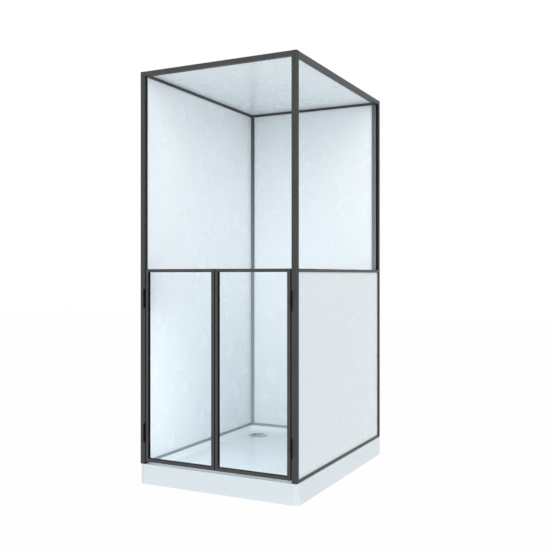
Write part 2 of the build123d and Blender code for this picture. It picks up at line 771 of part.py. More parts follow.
def door_leaf(side, middle):
    """Leaf on the stile's edge, joined by a jog to its knuckle."""
    x = (side * HINGE_X, side * DOOR_LEAF_X)
    ends = (middle - HINGE_L / 2, middle + HINGE_L / 2)
    leaf = block(x, (FACE_Y, FACE_Y + LEAF_D), ends)
    for z in knuckle_spans(middle)[1]:
        leaf += block(x, (PIVOT_Y - JOG_HALF, FACE_Y), z)
        jog = (side * HINGE_X, side * (PIVOT_X - PIN_R - PIN_FIT))
        leaf += block(jog, (PIVOT_Y - JOG_HALF, PIVOT_Y + JOG_HALF), z)
        leaf += disc(side * PIVOT_X, PIVOT_Y, z, KNUCKLE_R)
    leaf -= pin_bore(side, middle)
    for point in hinge_screw_points(side, DOOR_LEAF_X, middle):
        leaf -= countersunk(point, (-side, 0, 0), LEAF_T, LEAF_T, grow=SCREW_FIT)
    return leaf


def hinge_pin(side, middle):
    """Pin with a tapered tip over each end of the knuckles."""
    reach = HINGE_L / 2
    x = side * PIVOT_X
    pin = disc(x, PIVOT_Y, (middle - reach, middle + reach), PIN_R)
    tip = Cone(KNUCKLE_R, HINGE_TIP_R, HINGE_TIP)
    pin += Pos(x, PIVOT_Y, middle + reach + HINGE_TIP / 2) * tip
    pin += Pos(x, PIVOT_Y, middle - reach - HINGE_TIP / 2) * Rot(180, 0, 0) * tip
    return pin


def post_hinge_screws(grow=0.0):
    screws = []
    for side in (-1, 1):
        for middle in HINGE_HEIGHTS:
            for point in hinge_screw_points(side, POST_LEAF_X, middle):
                length = LEAF_T + WALL + SCREW_PAST
                screws.append(countersunk(point, (side, 0, 0), length, LEAF_T, grow))
    return screws


def door_hinge_screws(side, grow=0.0):
    screws = []
    for middle in HINGE_HEIGHTS:
        for point in hinge_screw_points(side, DOOR_LEAF_X, middle):
            length = LEAF_T + DOOR_WALL + SCREW_PAST
            screws.append(countersunk(point, (-side, 0, 0), length, LEAF_T, grow))
    return screws


# Tray, feet and waste

def basin_outline(inset, radius):
    """Rounded rectangle inside the tray's edge, in plan."""
    width = 2 * (TRAY_X - inset)
    depth = TRAY_BACK_Y - TRAY_FRONT_Y - 2 * inset
    return RectangleRounded(width, depth, radius)


def tray():
    """One shell: an apron on all sides, a flat rim, and a basin that falls to the waste."""
    centre_y = (TRAY_BACK_Y + TRAY_FRONT_Y) / 2
    body = extrude(basin_outline(0, TRAY_R), amount=TRAY_H)
    body = fillet(body.edges().group_by(Axis.Z)[-1], RIM_EDGE_R)
    basin = loft([
        Pos(0, 0, FLOOR_HIGH) * basin_outline(RIM_W + BASIN_SLOPE, BASIN_R),
        Pos(0, 0, TRAY_H) * basin_outline(RIM_W, BASIN_R),
    ])
    body -= basin
    body -= extrude(basin_outline(SKIN, TRAY_R - SKIN), amount=UNDERSIDE)
    rim_space = basin_outline(SKIN, TRAY_R - SKIN) - basin_outline(RIM_W - RIM_T, BASIN_R)
    body -= Pos(0, 0, UNDERSIDE) * extrude(rim_space, amount=TRAY_H - RIM_T - UNDERSIDE)
    body = Pos(0, centre_y, 0) * body
    fall_h = FLOOR_HIGH - FLOOR_LOW
    fall = Cone(RECESS_R, FALL_R, fall_h)
    floor_area = Pos(0, centre_y, FLOOR_LOW) * extrude(
        basin_outline(RIM_W + BASIN_SLOPE, BASIN_R), amount=fall_h
    )
    body -= (Pos(WASTE_X, WASTE_Y, FLOOR_LOW + fall_h / 2) * fall) & floor_area
    body -= disc(WASTE_X, WASTE_Y, (RECESS_Z, FLOOR_HIGH), RECESS_R)
    body -= disc(WASTE_X, WASTE_Y, (0, FLOOR_HIGH), WASTE_HOLE_R)
    notch_x = (WASTE_X - PIPE_NOTCH_W / 2, WASTE_X + PIPE_NOTCH_W / 2)
    body -= block(notch_x, (TRAY_BACK_Y - 2 * SKIN, TRAY_BACK_Y + SKIN), (0, PIPE_NOTCH_H))
    for _, _, (bolt_x, bolt_y) in post_anchor_spots():
        body -= disc(bolt_x, bolt_y, (UNDERSIDE, TRAY_H), ANCHOR_BOLT_R + SCREW_FIT)
    return body


def base_board():
    """Stiffening board under the basin, open round the trap and its pipe."""
    board = block((-BOARD_X, BOARD_X), BOARD_Y, (BOARD_LOW, UNDERSIDE))
    board -= disc(WASTE_X, WASTE_Y, (BOARD_LOW, UNDERSIDE), BOARD_HOLE_R)
    notch_x = (WASTE_X - PIPE_NOTCH_W / 2, WASTE_X + PIPE_NOTCH_W / 2)
    board -= block(notch_x, (WASTE_Y, BOARD_Y[1]), (BOARD_LOW, UNDERSIDE))
    for foot_x, foot_y in FOOT_PLACES:
        board -= disc(foot_x, foot_y, (BOARD_LOW, BOARD_LOW + STUD_IN_BOARD), STUD_R + STUD_FIT)
    return board


def foot_plate(x, y):
    half = PLATE_SIDE / 2
    plate = block((x - half, x + half), (y - half, y + half), (PLATE_LOW, BOARD_LOW))
    plate = fillet(plate.edges().filter_by(Axis.Z), STUD_R)
    return plate - disc(x, y, (PLATE_LOW, BOARD_LOW), STUD_R + STUD_FIT)


def foot_stud(x, y):
    return disc(x, y, (PAD_FLOOR, BOARD_LOW + STUD_IN_BOARD), STUD_R)


def lock_nut(x, y):
    nut = Pos(x, y, PLATE_LOW - LOCK_NUT_H) * extrude(RegularPolygon(LOCK_NUT_R, 6), amount=LOCK_NUT_H)
    return nut - disc(x, y, (PLATE_LOW - LOCK_NUT_H, PLATE_LOW), STUD_R + STUD_FIT)


def foot_pad(x, y):
    pad = disc(x, y, (0, PAD_H), PAD_R)
    pad = chamfer(pad.edges().group_by(Axis.Z)[-1], PAD_CHAMFER)
    return pad - disc(x, y, (PAD_FLOOR, PAD_H), STUD_R + STUD_FIT)


def tube(outer, inner, z):
    return disc(WASTE_X, WASTE_Y, z, outer) - disc(WASTE_X, WASTE_Y, z, inner)


def waste_flange():
    """Ring in the tray's recess, with a tube down into the trap and a ledge for the cup."""
    flange = tube(WASTE_FLANGE_R, WASTE_BORE_R, (RECESS_Z, FLOOR_LOW))
    flange += tube(WASTE_TUBE_R, WASTE_BORE_R, (WASTE_TUBE_LOW, RECESS_Z))
    return flange + tube(WASTE_TUBE_R, LEDGE_R, (LEDGE_LOW, LEDGE_LOW + LEDGE_H))


def dip_cup():
    """Lift-out cup that hangs on the flange's ledge and dips into the trap's water."""
    rim_low = LEDGE_LOW + LEDGE_H
    cup = tube(CUP_R, CUP_BORE_R, (CUP_LOW, rim_low))
    return cup + tube(CUP_RIM_R, CUP_BORE_R, (rim_low, rim_low + CUP_RIM_H))


def trap_body():
    """Round trap with a rim under the tray, and a pipe outlet with a collar that stops the socket."""
    body = disc(WASTE_X, WASTE_Y, (TRAP_LOW, TRAP_TOP), TRAP_R)
    body += disc(WASTE_X, WASTE_Y, (TRAP_TOP - TRAP_RIM_H, TRAP_TOP), TRAP_RIM_R)
    start = (WASTE_X, WASTE_Y, OUTLET_Z)
    body += rod(start, (0, 1, 0), TRAP_R + OUTLET_COLLAR_L, OUTLET_COLLAR_R)
    body += rod(start, (0, 1, 0), OUTLET_END - WASTE_Y, OUTLET_R)
    body -= disc(WASTE_X, WASTE_Y, (TRAP_LOW + TRAP_FLOOR, TRAP_TOP), TRAP_BORE_R)
    return body - rod(start, (0, 1, 0), OUTLET_END - WASTE_Y, OUTLET_BORE_R)


def drain_cover():
    """Domed cover on three pegs, with a ring that centres it in the flange's bore."""
    low = FLOOR_LOW + COVER_LIFT
    top = low + COVER_EDGE + COVER_DOME
    dome_r = (COVER_R**2 + COVER_DOME**2) / (2 * COVER_DOME)
    cover = disc(WASTE_X, WASTE_Y, (low, top), COVER_R)
    cover = cover & (Pos(WASTE_X, WASTE_Y, top - dome_r) * Sphere(dome_r))
    inner = COVER_RING_R - COVER_RING_T
    cover += tube(COVER_RING_R, inner, (low - COVER_LIFT - COVER_RING_DOWN, low))
    for spot in PolarLocations(COVER_PEG_AT, COVER_PEGS):
        x, y, _ = spot.position
        cover += disc(WASTE_X + x, WASTE_Y + y, (FLOOR_LOW, low), COVER_PEG_R)
    return cover


# Panels

def left_panel():
    x = (-HALF_W + LEFT_SLOT[0] + PANEL_FIT, -HALF_W + LEFT_SLOT[1] - PANEL_FIT)
    reach = POST_SLOT_DEPTH - PANEL_END
    y = (LENGTH_SPAN[0] - reach, LENGTH_SPAN[1] + reach)
    z = (TRAY_H + LOW_RAIL_H - RAIL_SLOT_DEPTH, TOP_RAIL_LOW + reach)
    return block(x, y, z)


def back_panel():
    y = (HALF_D - BACK_SLOT[1] + PANEL_FIT, HALF_D - BACK_SLOT[0] - PANEL_FIT)
    reach = POST_SLOT_DEPTH - PANEL_END
    x = (BACK_SPAN[0] - reach, BACK_SPAN[1] + reach)
    z = (TRAY_H + LOW_RAIL_H - RAIL_SLOT_DEPTH, TOP_RAIL_LOW + reach)
    return block(x, y, z)


SIDE_PANEL_X = (HALF_W - SIDE_LIP - PANEL_FIT - SIDE_PANEL_T, HALF_W - SIDE_LIP - PANEL_FIT)
SIDE_PANEL_Y = (
    LENGTH_SPAN[0] - POST_SLOT_DEPTH + PANEL_END,
    HALF_D - FLANGE_D - PANEL_END,
)
SIDE_PANEL_Z = (
    TRAY_H + LOW_RAIL_H - RAIL_SLOT_DEPTH,
    MID_RAIL_LOW + RAIL_SLOT_DEPTH - PANEL_END,
)


def side_gasket():
    """Four wedge strips that press the side panel against the slots' outer walls."""
    x = (HALF_W - CHANNEL_W, SIDE_PANEL_X[0])
    low = TRAY_H + LOW_RAIL_H
    strips = [
        (LENGTH_SPAN, (SIDE_PANEL_Z[0], low)),
        (LENGTH_SPAN, (MID_RAIL_LOW, SIDE_PANEL_Z[1])),
        ((SIDE_PANEL_Y[0], LENGTH_SPAN[0]), (low, MID_RAIL_LOW)),
        ((LENGTH_SPAN[1], SIDE_PANEL_Y[1]), (low, MID_RAIL_LOW)),
    ]
    return group(block(x, y, z) for y, z in strips)


def ceiling_panel():
    """Ceiling in the four top rails' slots, its corners cut round the posts."""
    reach = POST_SLOT_DEPTH - PANEL_END
    x = (FRONT_SPAN[0] - reach, FRONT_SPAN[1] + reach)
    y = (LENGTH_SPAN[0] - reach, LENGTH_SPAN[1] + reach)
    z = (CEILING_Z, CEILING_Z + WALL_PANEL_T)
    panel = block(x, y, z)
    for post_x, post_y in POST_CORNERS:
        grown_x = (post_x[0] - PANEL_END, post_x[1] + PANEL_END)
        grown_y = (post_y[0] - PANEL_END, post_y[1] + PANEL_END)
        panel -= block(grown_x, grown_y, z)
    return panel


def posts():
    """The four posts, with the holes of the connectors' and the hinges' screws."""
    z = (TRAY_H, POST_TOP)
    front_left = section(POST_W, POST_D, wall_post_cuts(), EDGE_R)
    front_right = section(POST_W, POST_D, side_post_cuts(), EDGE_R, flip_width=True)
    back_left = section(BACK_POST_W, POST_D, corner_post_cuts(), EDGE_R, flip_height=True)
    back_right = section(
        POST_W, POST_D, back_right_post_cuts(), EDGE_R, flip_width=True, flip_height=True
    )
    names = ("front_left_post", "front_right_post", "back_left_post", "back_right_post")
    faces = (front_left, front_right, back_left, back_right)
    made = {
        name: upright(face, x[0], y[0], z)
        for name, face, (x, y) in zip(names, faces, POST_CORNERS)
    }
    holes = frame_screw_holes() + post_hinge_screws(grow=SCREW_FIT) + channel_screws(grow=SCREW_FIT)
    for name in made:
        for hole in holes:
            if overlaps(made[name], hole):
                made[name] -= hole
    return made


def overlaps(first, second):
    """Whether two shapes' bounding boxes meet."""
    a = first.bounding_box()
    b = second.bounding_box()
    return all(
        low_a <= high_b and low_b <= high_a
        for low_a, high_a, low_b, high_b in zip(a.min, a.max, b.min, b.max)
    )


def post_caps(spots):
    return group(post_cap(x, y, spot) for (x, y), spot in zip(POST_CORNERS, spots))


def door_parts(name, side):
    """Every piece of one door, under its own name."""
    corners = door_corners()
    corner_holes = [corner_screw(side, corner, grow=SCREW_FIT) for corner in corners]
    corner_holes += [corner_access(side, corner) for corner in corners]
    hinge_stile = door_stile(side, at_hinge=True)
    meeting_stile = door_stile(side, at_hinge=False)
    for hole in corner_holes + door_hinge_screws(side, grow=SCREW_FIT):
        if overlaps(hinge_stile, hole):
            hinge_stile -= hole
        if overlaps(meeting_stile, hole):
            meeting_stile -= hole
    screws = [corner_screw(side, corner) for corner in corners] + door_hinge_screws(side)
    return {
        name + "_hinge_stile": hinge_stile,
        name + "_meeting_stile": meeting_stile,
        name + "_top_rail": door_rail(side, (INNER_Z[1], DOOR_TOP), False, TOP_KEY_Z),
        name + "_bottom_rail": door_rail(side, (DOOR_LOW, INNER_Z[0]), True, LOW_KEY_Z),
        name + "_glass": door_glass(side),
        name + "_glazing_gasket": glazing_gasket(side),
        name + "_corner_keys": group(corner_key(side, corner) for corner in corners),
        name + "_screws": group(screws),
        name + "_hinge_leaves": group(door_leaf(side, middle) for middle in HINGE_HEIGHTS),
        name + "_hinge_seal": hinge_seal(side),
        name + "_magnet_seal": magnet_seal(side),
    }


def frame_parts():
    """The frame's extrusions, panels and what joins them."""
    spots = post_anchor_spots()
    parts = posts()
    holes = channel_screws(grow=SCREW_FIT)
    lengths = (LOWER_CHANNEL_Z, UPPER_CHANNEL_Z)
    parts["side_channels"] = group(side_channel(z) - holes for z in lengths)
    top_left = walled_top_rail_cuts(POST_W, LEFT_SLOT, LEFT_WEB)
    top_back = walled_top_rail_cuts(POST_D, BACK_SLOT, BACK_WEB)
    parts["left_top_rail"] = left_rail(top_left, TOP_RAIL_H, TOP_RAIL_LOW)
    parts["right_top_rail"] = right_rail(open_top_rail_cuts(POST_W, SIDE_WEB), TOP_RAIL_H, TOP_RAIL_LOW)
    parts["front_top_rail"] = front_rail(open_top_rail_cuts(POST_D, FRONT_WEB), TOP_RAIL_H, TOP_RAIL_LOW)
    parts["back_top_rail"] = back_rail(top_back, TOP_RAIL_H, TOP_RAIL_LOW)
    low_left = bottom_rail_cuts(LEFT_SLOT, (WALL, LEFT_WEB))
    low_back = bottom_rail_cuts(BACK_SLOT, (WALL, BACK_WEB))
    low_right = bottom_rail_cuts(SIDE_SLOT_SPAN, SIDE_CHAMBER_SPAN)
    parts["left_bottom_rail"] = left_rail(low_left, LOW_RAIL_H, TRAY_H)
    parts["back_bottom_rail"] = back_rail(low_back, LOW_RAIL_H, TRAY_H)
    parts["right_bottom_rail"] = right_rail(low_right, LOW_RAIL_H, TRAY_H)
    parts["right_mid_rail"] = mid_rail()
    parts["left_wall_panel"] = left_panel()
    parts["back_wall_panel"] = back_panel()
    parts["side_lower_panel"] = block(SIDE_PANEL_X, SIDE_PANEL_Y, SIDE_PANEL_Z)
    parts["side_panel_gasket"] = side_gasket()
    parts["ceiling_panel"] = ceiling_panel()
    parts["rail_connectors"] = group(connector(end) for end in RAIL_ENDS)
    screws = [frame_screw(end) for end in RAIL_ENDS]
    bolts = [anchor_bolt(spot) for spot in spots]
    parts["frame_screws"] = group(screws + bolts + channel_screws())
    anchors = []
    for spot in spots:
        anchor = post_anchor(spot)
        for hole in frame_screw_holes():
            if overlaps(anchor, hole):
                anchor -= hole
        anchors.append(anchor)
    parts["post_anchors"] = group(anchors)
    parts["anchor_nuts"] = group(anchor_nut(spot) for spot in spots)
    parts["post_caps"] = post_caps(spots)
    return parts


def tray_parts():
    """The tray, its feet and its waste."""
    return {
        "shower_tray": tray(),
        "tray_base_board": base_board(),
        "foot_plates": group(foot_plate(x, y) for x, y in FOOT_PLACES),
        "foot_studs": group(foot_stud(x, y) for x, y in FOOT_PLACES),
        "foot_lock_nuts": group(lock_nut(x, y) for x, y in FOOT_PLACES),
        "foot_pads": group(foot_pad(x, y) for x, y in FOOT_PLACES),
        "waste_flange": waste_flange(),
        "waste_gasket": tube(WASTE_FLANGE_R, WASTE_HOLE_R, (TRAP_TOP, UNDERSIDE)),
        "trap_body": trap_body(),
        "trap_dip_cup": dip_cup(),
        "drain_cover": drain_cover(),
    }


def hinge_parts():
    """What the hinges have on the posts."""
    places = [(side, middle) for side in (-1, 1) for middle in HINGE_HEIGHTS]
    return {
        "post_hinge_leaves": group(post_leaf(side, middle) for side, middle in places),
        "hinge_pins": group(hinge_pin(side, middle) for side, middle in places),
        "post_hinge_screws": group(post_hinge_screws()),
    }


def main():
    os.makedirs("parts", exist_ok=True)
    parts = tray_parts()
    parts.update(frame_parts())
    parts.update(hinge_parts())
    parts.update(door_parts("left_door", -1))
    parts.update(door_parts("right_door", 1))
    for name, shape in parts.items():
        export_step(shape, f"parts/{name}.step")
    print(len(parts), "sub-parts written")


main()
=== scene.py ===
import json
import math
import bmesh
import bpy
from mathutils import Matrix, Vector


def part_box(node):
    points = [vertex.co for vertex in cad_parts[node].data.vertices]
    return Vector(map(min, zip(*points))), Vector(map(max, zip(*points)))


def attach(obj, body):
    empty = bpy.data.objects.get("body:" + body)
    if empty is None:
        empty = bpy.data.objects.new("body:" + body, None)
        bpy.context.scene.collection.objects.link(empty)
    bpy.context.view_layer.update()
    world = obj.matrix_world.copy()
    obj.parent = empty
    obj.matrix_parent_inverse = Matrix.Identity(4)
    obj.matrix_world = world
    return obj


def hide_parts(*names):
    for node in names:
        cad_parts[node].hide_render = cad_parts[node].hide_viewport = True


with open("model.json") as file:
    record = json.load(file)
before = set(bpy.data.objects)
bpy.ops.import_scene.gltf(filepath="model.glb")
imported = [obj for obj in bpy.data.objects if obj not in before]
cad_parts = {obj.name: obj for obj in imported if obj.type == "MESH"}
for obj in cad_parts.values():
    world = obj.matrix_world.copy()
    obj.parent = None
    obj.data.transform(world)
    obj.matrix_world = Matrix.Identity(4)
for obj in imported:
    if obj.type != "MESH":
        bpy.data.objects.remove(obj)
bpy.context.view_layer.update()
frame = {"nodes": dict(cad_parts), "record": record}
nodes = frame["nodes"]
MM = 0.001

# Camera: level, on the right of the door side, as in the photograph
CAMERA_PLACE = (1.9334, -3.7939, 1.0703)
CAMERA_TURN = math.radians(26.587)
LENS_MM = 50.0
SENSOR_MM = 36.0

# Studio
WORLD_LIGHT = 0.6
FLOOR_SIZE = 30.0
FLOOR_SHOW = 0.97
SUN_ANGLE = 70.0

# Distant lamp: name, azimuth and elevation in degrees, strength
DISTANT_LAMP = ("front_right_lamp", 35.0, 15.0, 1.37)

# Opening lamps: name, centre, width and height in metres, turn, level
OPENING_LAMPS = (
    ("front_low_lamp", (0.0, -0.56, 0.5), 0.82, 0.74, 0.0, 0.82),
    ("front_high_lamp", (0.0, -0.56, 1.58), 0.82, 0.98, 0.0, 0.29),
    ("side_high_lamp", (0.41, 0.0, 1.59), 1.12, 0.98, math.pi / 2, 0.27),
)

# Tray, in millimetres, as in the construction
TRAY_R = 32.0
RIM_EDGE = 3.0
RIM_W = 45.0
RIM_T = 6.0
SKIN = 5.0
BASIN_R = 40.0
BASIN_SLOPE = 12.0
BASIN_EDGE = 3.0
BASIN_FOOT = 9.0
BEND_STEPS = 6
APRON_LEVELS = (30.0, 62.0)
FLOOR_HIGH = 82.0
FLOOR_LOW = 74.0
FALL_R = 1000.0
UNDERSIDE = 66.0
RECESS_R = 58.0
RECESS_DEPTH = 3.0
RECESS_EDGE = 1.0
DISH_R = 82.0
WASTE_HOLE_R = 45.0
NOTCH_W = 70.0
NOTCH_H = 62.0
CORNER_STEPS = 12
SIDE_STEPS = 16

# Drain cover, hinges and seals, in millimetres
COVER_R = 52.0
COVER_EDGE_LIFT = 2.0
COVER_EDGE_EASE = 0.5
COVER_PAINTED_HIGHLIGHT_R = 43.5
COVER_GROOVE_IN = 43.0
COVER_GROOVE_OUT = 45.0
COVER_GROOVE_DEPTH = 0.5
COVER_RING_OUT = 37.0
COVER_RING_IN = 34.5
COVER_PEGS = 3
COVER_PEG_AT = 47.0
COVER_PEG_R = 3.0
COVER_PEG_SINK = 0.2
PEG_EDGE = 0.4
KNUCKLE_EDGE = 0.3
KNUCKLE_R = 4.2
PIN_R = 2.5
PIN_TIP = 7.0
PIN_EDGE = 0.4
HINGE_L = 84.0
LATHE_STEPS = 24
COVER_STEPS = 96
CHANNEL_SKIN = 0.5
CHANNEL_LIP = 6.1
DOOR_T = 18.0
LEFT_LIP_SHARE = 2.6
GLASS_GRIP = 4.2
GASKET_T = 1.1
FIN_ROUND = 0.9
WELD = 0.001
SMOOTH_BELOW = math.radians(35.0)

# Places from the frame, in millimetres
tray_low, tray_high = (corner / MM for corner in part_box("shower_tray"))
cover_low, cover_high = (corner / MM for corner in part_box("drain_cover"))
channel_low, channel_high = (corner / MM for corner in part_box("side_channels"))
WASTE = Vector((cover_low.xy + cover_high.xy) / 2)
TRAY_H = tray_high.z


# Node trees

class Graph:
    """A material and its node tree. Each method adds one node and returns its output."""

    def __init__(self, name):
        self.material = bpy.data.materials.new(name)
        self.material.use_nodes = True
        self.tree = self.material.node_tree
        self.tree.nodes.clear()
        self.output = self.add("ShaderNodeOutputMaterial")
        coordinates = self.add("ShaderNodeTexCoord")
        self.place = coordinates.outputs["Object"]
        self.facing = coordinates.outputs["Normal"]

    def add(self, kind, **settings):
        node = self.tree.nodes.new(kind)
        for key, value in settings.items():
            setattr(node, key, value)
        return node

    def link(self, output, socket):
        self.tree.links.new(output, socket)

    def feed(self, socket, value):
        """Links an output to a socket, or sets the socket to a plain value."""
        if isinstance(value, bpy.types.NodeSocket):
            self.link(value, socket)
        else:
            socket.default_value = value

    def stretch(self, scale):
        """Object coordinates stretched along the axes."""
        node = self.add("ShaderNodeMapping")
        self.link(self.place, node.inputs["Vector"])
        node.inputs["Scale"].default_value = scale
        return node.outputs["Vector"]

    def part(self, vector, axis):
        """One component of a vector."""
        node = self.add("ShaderNodeSeparateXYZ")
        self.link(vector, node.inputs["Vector"])
        return node.outputs[axis]

    def noise(self, scale, detail=2.0, place=None, roughness=0.5):
        node = self.add("ShaderNodeTexNoise")
        self.link(place or self.place, node.inputs["Vector"])
        node.inputs["Scale"].default_value = scale
        node.inputs["Detail"].default_value = detail
        node.inputs["Roughness"].default_value = roughness
        return node.outputs["Fac"]

    def span(self, value, low, high, start=0.35, end=0.65):
        """Maps a value from start to end onto low to high."""
        node = self.add("ShaderNodeMapRange")
        self.feed(node.inputs["Value"], value)
        node.inputs["From Min"].default_value = start
        node.inputs["From Max"].default_value = end
        node.inputs["To Min"].default_value = low
        node.inputs["To Max"].default_value = high
        return node.outputs["Result"]

    def blend(self, amount, first, second):
        """A colour between two colours."""
        node = self.add("ShaderNodeMix", data_type="RGBA")
        self.feed(node.inputs["Factor"], amount)
        colour_a = [s for s in node.inputs if s.name == "A" and s.type == "RGBA"][0]
        colour_b = [s for s in node.inputs if s.name == "B" and s.type == "RGBA"][0]
        self.feed(colour_a, first)
        self.feed(colour_b, second)
        return [s for s in node.outputs if s.type == "RGBA"][0]

    def bump(self, height, strength, distance):
        node = self.add("ShaderNodeBump")
        self.link(height, node.inputs["Height"])
        node.inputs["Strength"].default_value = strength
        node.inputs["Distance"].default_value = distance
        return node.outputs["Normal"]

    def surface(self, colour, roughness, normal=None, **uniform):
        """The Principled shader. Uniform names its other sockets, with spaces as underscores."""
        shader = self.add("ShaderNodeBsdfPrincipled")
        self.feed(shader.inputs["Base Color"], colour)
        self.feed(shader.inputs["Roughness"], roughness)
        if normal:
            self.link(normal, shader.inputs["Normal"])
        for key, value in uniform.items():
            shader.inputs[key.replace("_", " ")].default_value = value
        return shader.outputs["BSDF"]

    def finish(self, shader):
        self.link(shader, self.output.inputs["Surface"])
        return self.material


def rgb(red, green, blue):
    return (red, green, blue, 1.0)


def grey(tone):
    return rgb(tone, tone * 0.985, tone * 0.98)


def painted_sheet_light(tone):
    """Grey with a painted blue cast, standing in for the light that the white sheets throw on what stands
    between them.
    """
    return rgb(0.87 * tone, 1.03 * tone, 1.14 * tone)


# Materials

POWDER_TONE = 0.039
POWDER_ROUGH = 0.45
POWDER_SPECULAR = 0.3
PEEL_SCALE = 1400.0
GRAIN_SCALE = 5200.0
PATCH_SCALE = 5.0
PATCH_SHARE = 0.12
BRIGHTEST_GRAIN = 0.2
PEEL_DEPTH = 0.00015
# Heights between which the painted face tones run from the foot's tone to the top's.
FOOT_Z, HEAD_Z = 0.1, 2.1
# Near-black painted shade for the side channel's slot.
SLOT_PAINTED_SHADE = 0.002
# Drain cover tones: a dark satin grey in the middle, and a near-white rim that is a painted highlight.
COVER_DARK = (rgb(0.29, 0.31, 0.335), rgb(0.38, 0.405, 0.43))
COVER_RIM_PAINTED_HIGHLIGHT = rgb(0.9, 0.94, 0.96)
SHEET_ROUGH = 0.25
SHEET_RIPPLE = 0.0001


def patched(g, tone):
    """Powder coat's own grey, which changes a little from place to place."""
    patch = g.span(g.noise(PATCH_SCALE, 3.0), 0.0, 1.0)
    return g.blend(patch, grey((1 - PATCH_SHARE) * tone), grey((1 + PATCH_SHARE) * tone))


def powder_coat(name, tone=POWDER_TONE, roughness=POWDER_ROUGH, specular=POWDER_SPECULAR, faces=()):
    """Powder-coated aluminium: a fine orange peel and a faint change of tone along the bar.

    Faces paints light and shade onto the faces that look one way, each graded from foot to top:
    the axis they look along, 1 or -1 for the side, the foot's tone and the top's.
    """
    g = Graph(name)
    peel = g.noise(PEEL_SCALE, 2.0)
    grain = g.noise(GRAIN_SCALE, 1.0)
    colour = g.blend(g.span(grain, 0.0, 0.3), patched(g, tone), grey(min(5.0 * tone, BRIGHTEST_GRAIN)))
    # Painted light and shade: faces that look one way take their own tone, graded with height, in place of
    # the light or shade that falls on them.
    for axis, side, foot, top in faces:
        height = g.span(g.part(g.place, "Z"), 0.0, 1.0, FOOT_Z, HEAD_Z)
        turned = g.span(g.part(g.facing, axis), 0.0, 1.0, 0.6 * side, 0.8 * side)
        other = g.blend(height, painted_sheet_light(foot), painted_sheet_light(top))
        other = g.blend(g.span(grain, 0.0, 0.25), other, grey(min(3.0 * top, BRIGHTEST_GRAIN)))
        colour = g.blend(turned, colour, other)
    rough = g.span(peel, roughness - 0.05, roughness + 0.06)
    normal = g.bump(peel, 0.25, PEEL_DEPTH)
    return g.finish(g.surface(colour, rough, normal, Specular_IOR_Level=specular))


def channel_coat(name, tone, lip_front, lip_side):
    """Powder coat on the side channel: its lip is anthracite, and the slot beside it is painted near-black,
    a painted shade for the dark it lies in.
    """
    g = Graph(name)
    peel = g.noise(PEEL_SCALE, 2.0)
    # Painted shade: a mask by place that paints the slot beside the lip near-black.
    painted_shade_mask = g.add("ShaderNodeMath", operation="MULTIPLY")
    g.link(g.span(g.part(g.place, "Y"), 0.0, 1.0, lip_front, lip_front + 0.002), painted_shade_mask.inputs[0])
    g.link(g.span(g.part(g.place, "X"), 1.0, 0.0, lip_side, lip_side + 0.001), painted_shade_mask.inputs[1])
    colour = g.blend(painted_shade_mask.outputs[0], patched(g, tone), grey(SLOT_PAINTED_SHADE))
    rough = g.span(peel, 0.42, 0.53)
    normal = g.bump(peel, 0.25, PEEL_DEPTH)
    return g.finish(g.surface(colour, rough, normal, Specular_IOR_Level=0.2))


def moulded(name, colour, roughness, scale, specular=0.5):
    """Moulded plastic or rubber: a fine grain, and roughness that varies with it."""
    g = Graph(name)
    grain = g.noise(scale, 3.0)
    patch = g.noise(18.0, 2.0)
    deep = tuple(0.86 * c for c in colour[:3]) + (1.0,)
    tone = g.blend(g.span(patch, 0.0, 1.0), deep, colour)
    rough = g.span(grain, roughness - 0.06, roughness + 0.08)
    normal = g.bump(grain, 0.2, 0.0002)
    return g.finish(g.surface(tone, rough, normal, Specular_IOR_Level=specular))


def gloss_sheet(name, colour, shade, roughness, ripple):
    """White gloss sheet: nearly even in colour, with a slow, very low ripple."""
    g = Graph(name)
    tone = g.blend(g.span(g.noise(2.2, 2.0), 0.0, 1.0), shade, colour)
    rough = g.span(g.noise(9.0, 2.0), roughness - 0.03, roughness + 0.04)
    normal = g.bump(g.noise(1.6, 0.0), 0.05, ripple)
    return g.finish(g.surface(tone, rough, normal, Specular_IOR_Level=0.5))


def metal(name, colour, roughness, stretch):
    """Bare metal with fine scratches along one axis."""
    g = Graph(name)
    scratch = g.noise(600.0, 3.0, g.stretch(stretch))
    patch = g.noise(30.0, 2.0)
    deep = tuple(0.8 * c for c in colour[:3]) + (1.0,)
    tone = g.blend(g.span(patch, 0.0, 1.0), deep, colour)
    rough = g.span(scratch, roughness - 0.05, roughness + 0.08)
    normal = g.bump(scratch, 0.15, 0.0001)
    return g.finish(g.surface(tone, rough, normal, Metallic=1.0))


def cover_metal(name, centre, rim):
    """Satin metal on the drain cover: darker inside a radius, which lies in the groove, than on the rim,
    which is painted near-white as a painted highlight.
    """
    g = Graph(name)
    grain = g.noise(600.0, 3.0, g.stretch((1.0, 14.0, 1.0)))
    middle = g.add("ShaderNodeCombineXYZ")
    middle.inputs["X"].default_value, middle.inputs["Y"].default_value = centre
    flat = g.add("ShaderNodeVectorMath", operation="MULTIPLY")
    g.link(g.place, flat.inputs[0])
    flat.inputs[1].default_value = (1.0, 1.0, 0.0)
    away = g.add("ShaderNodeVectorMath", operation="DISTANCE")
    g.link(flat.outputs["Vector"], away.inputs[0])
    g.link(middle.outputs["Vector"], away.inputs[1])
    inner = g.blend(g.span(grain, 0.0, 1.0), *COVER_DARK)
    tone = g.blend(g.span(away.outputs["Value"], 0.0, 1.0, rim - MM, rim), inner, COVER_RIM_PAINTED_HIGHLIGHT)
    rough = g.span(grain, 0.2, 0.33)
    normal = g.bump(grain, 0.15, 0.0001)
    return g.finish(g.surface(tone, rough, normal, Metallic=1.0))


def wood_board(name):
    """Sealed particle board."""
    g = Graph(name)
    chips = g.noise(260.0, 4.0, roughness=0.7)
    tone = g.blend(g.span(chips, 0.0, 1.0), rgb(0.34, 0.24, 0.14), rgb(0.6, 0.46, 0.3))
    normal = g.bump(chips, 0.3, 0.0004)
    return g.finish(g.surface(tone, 0.55, normal))


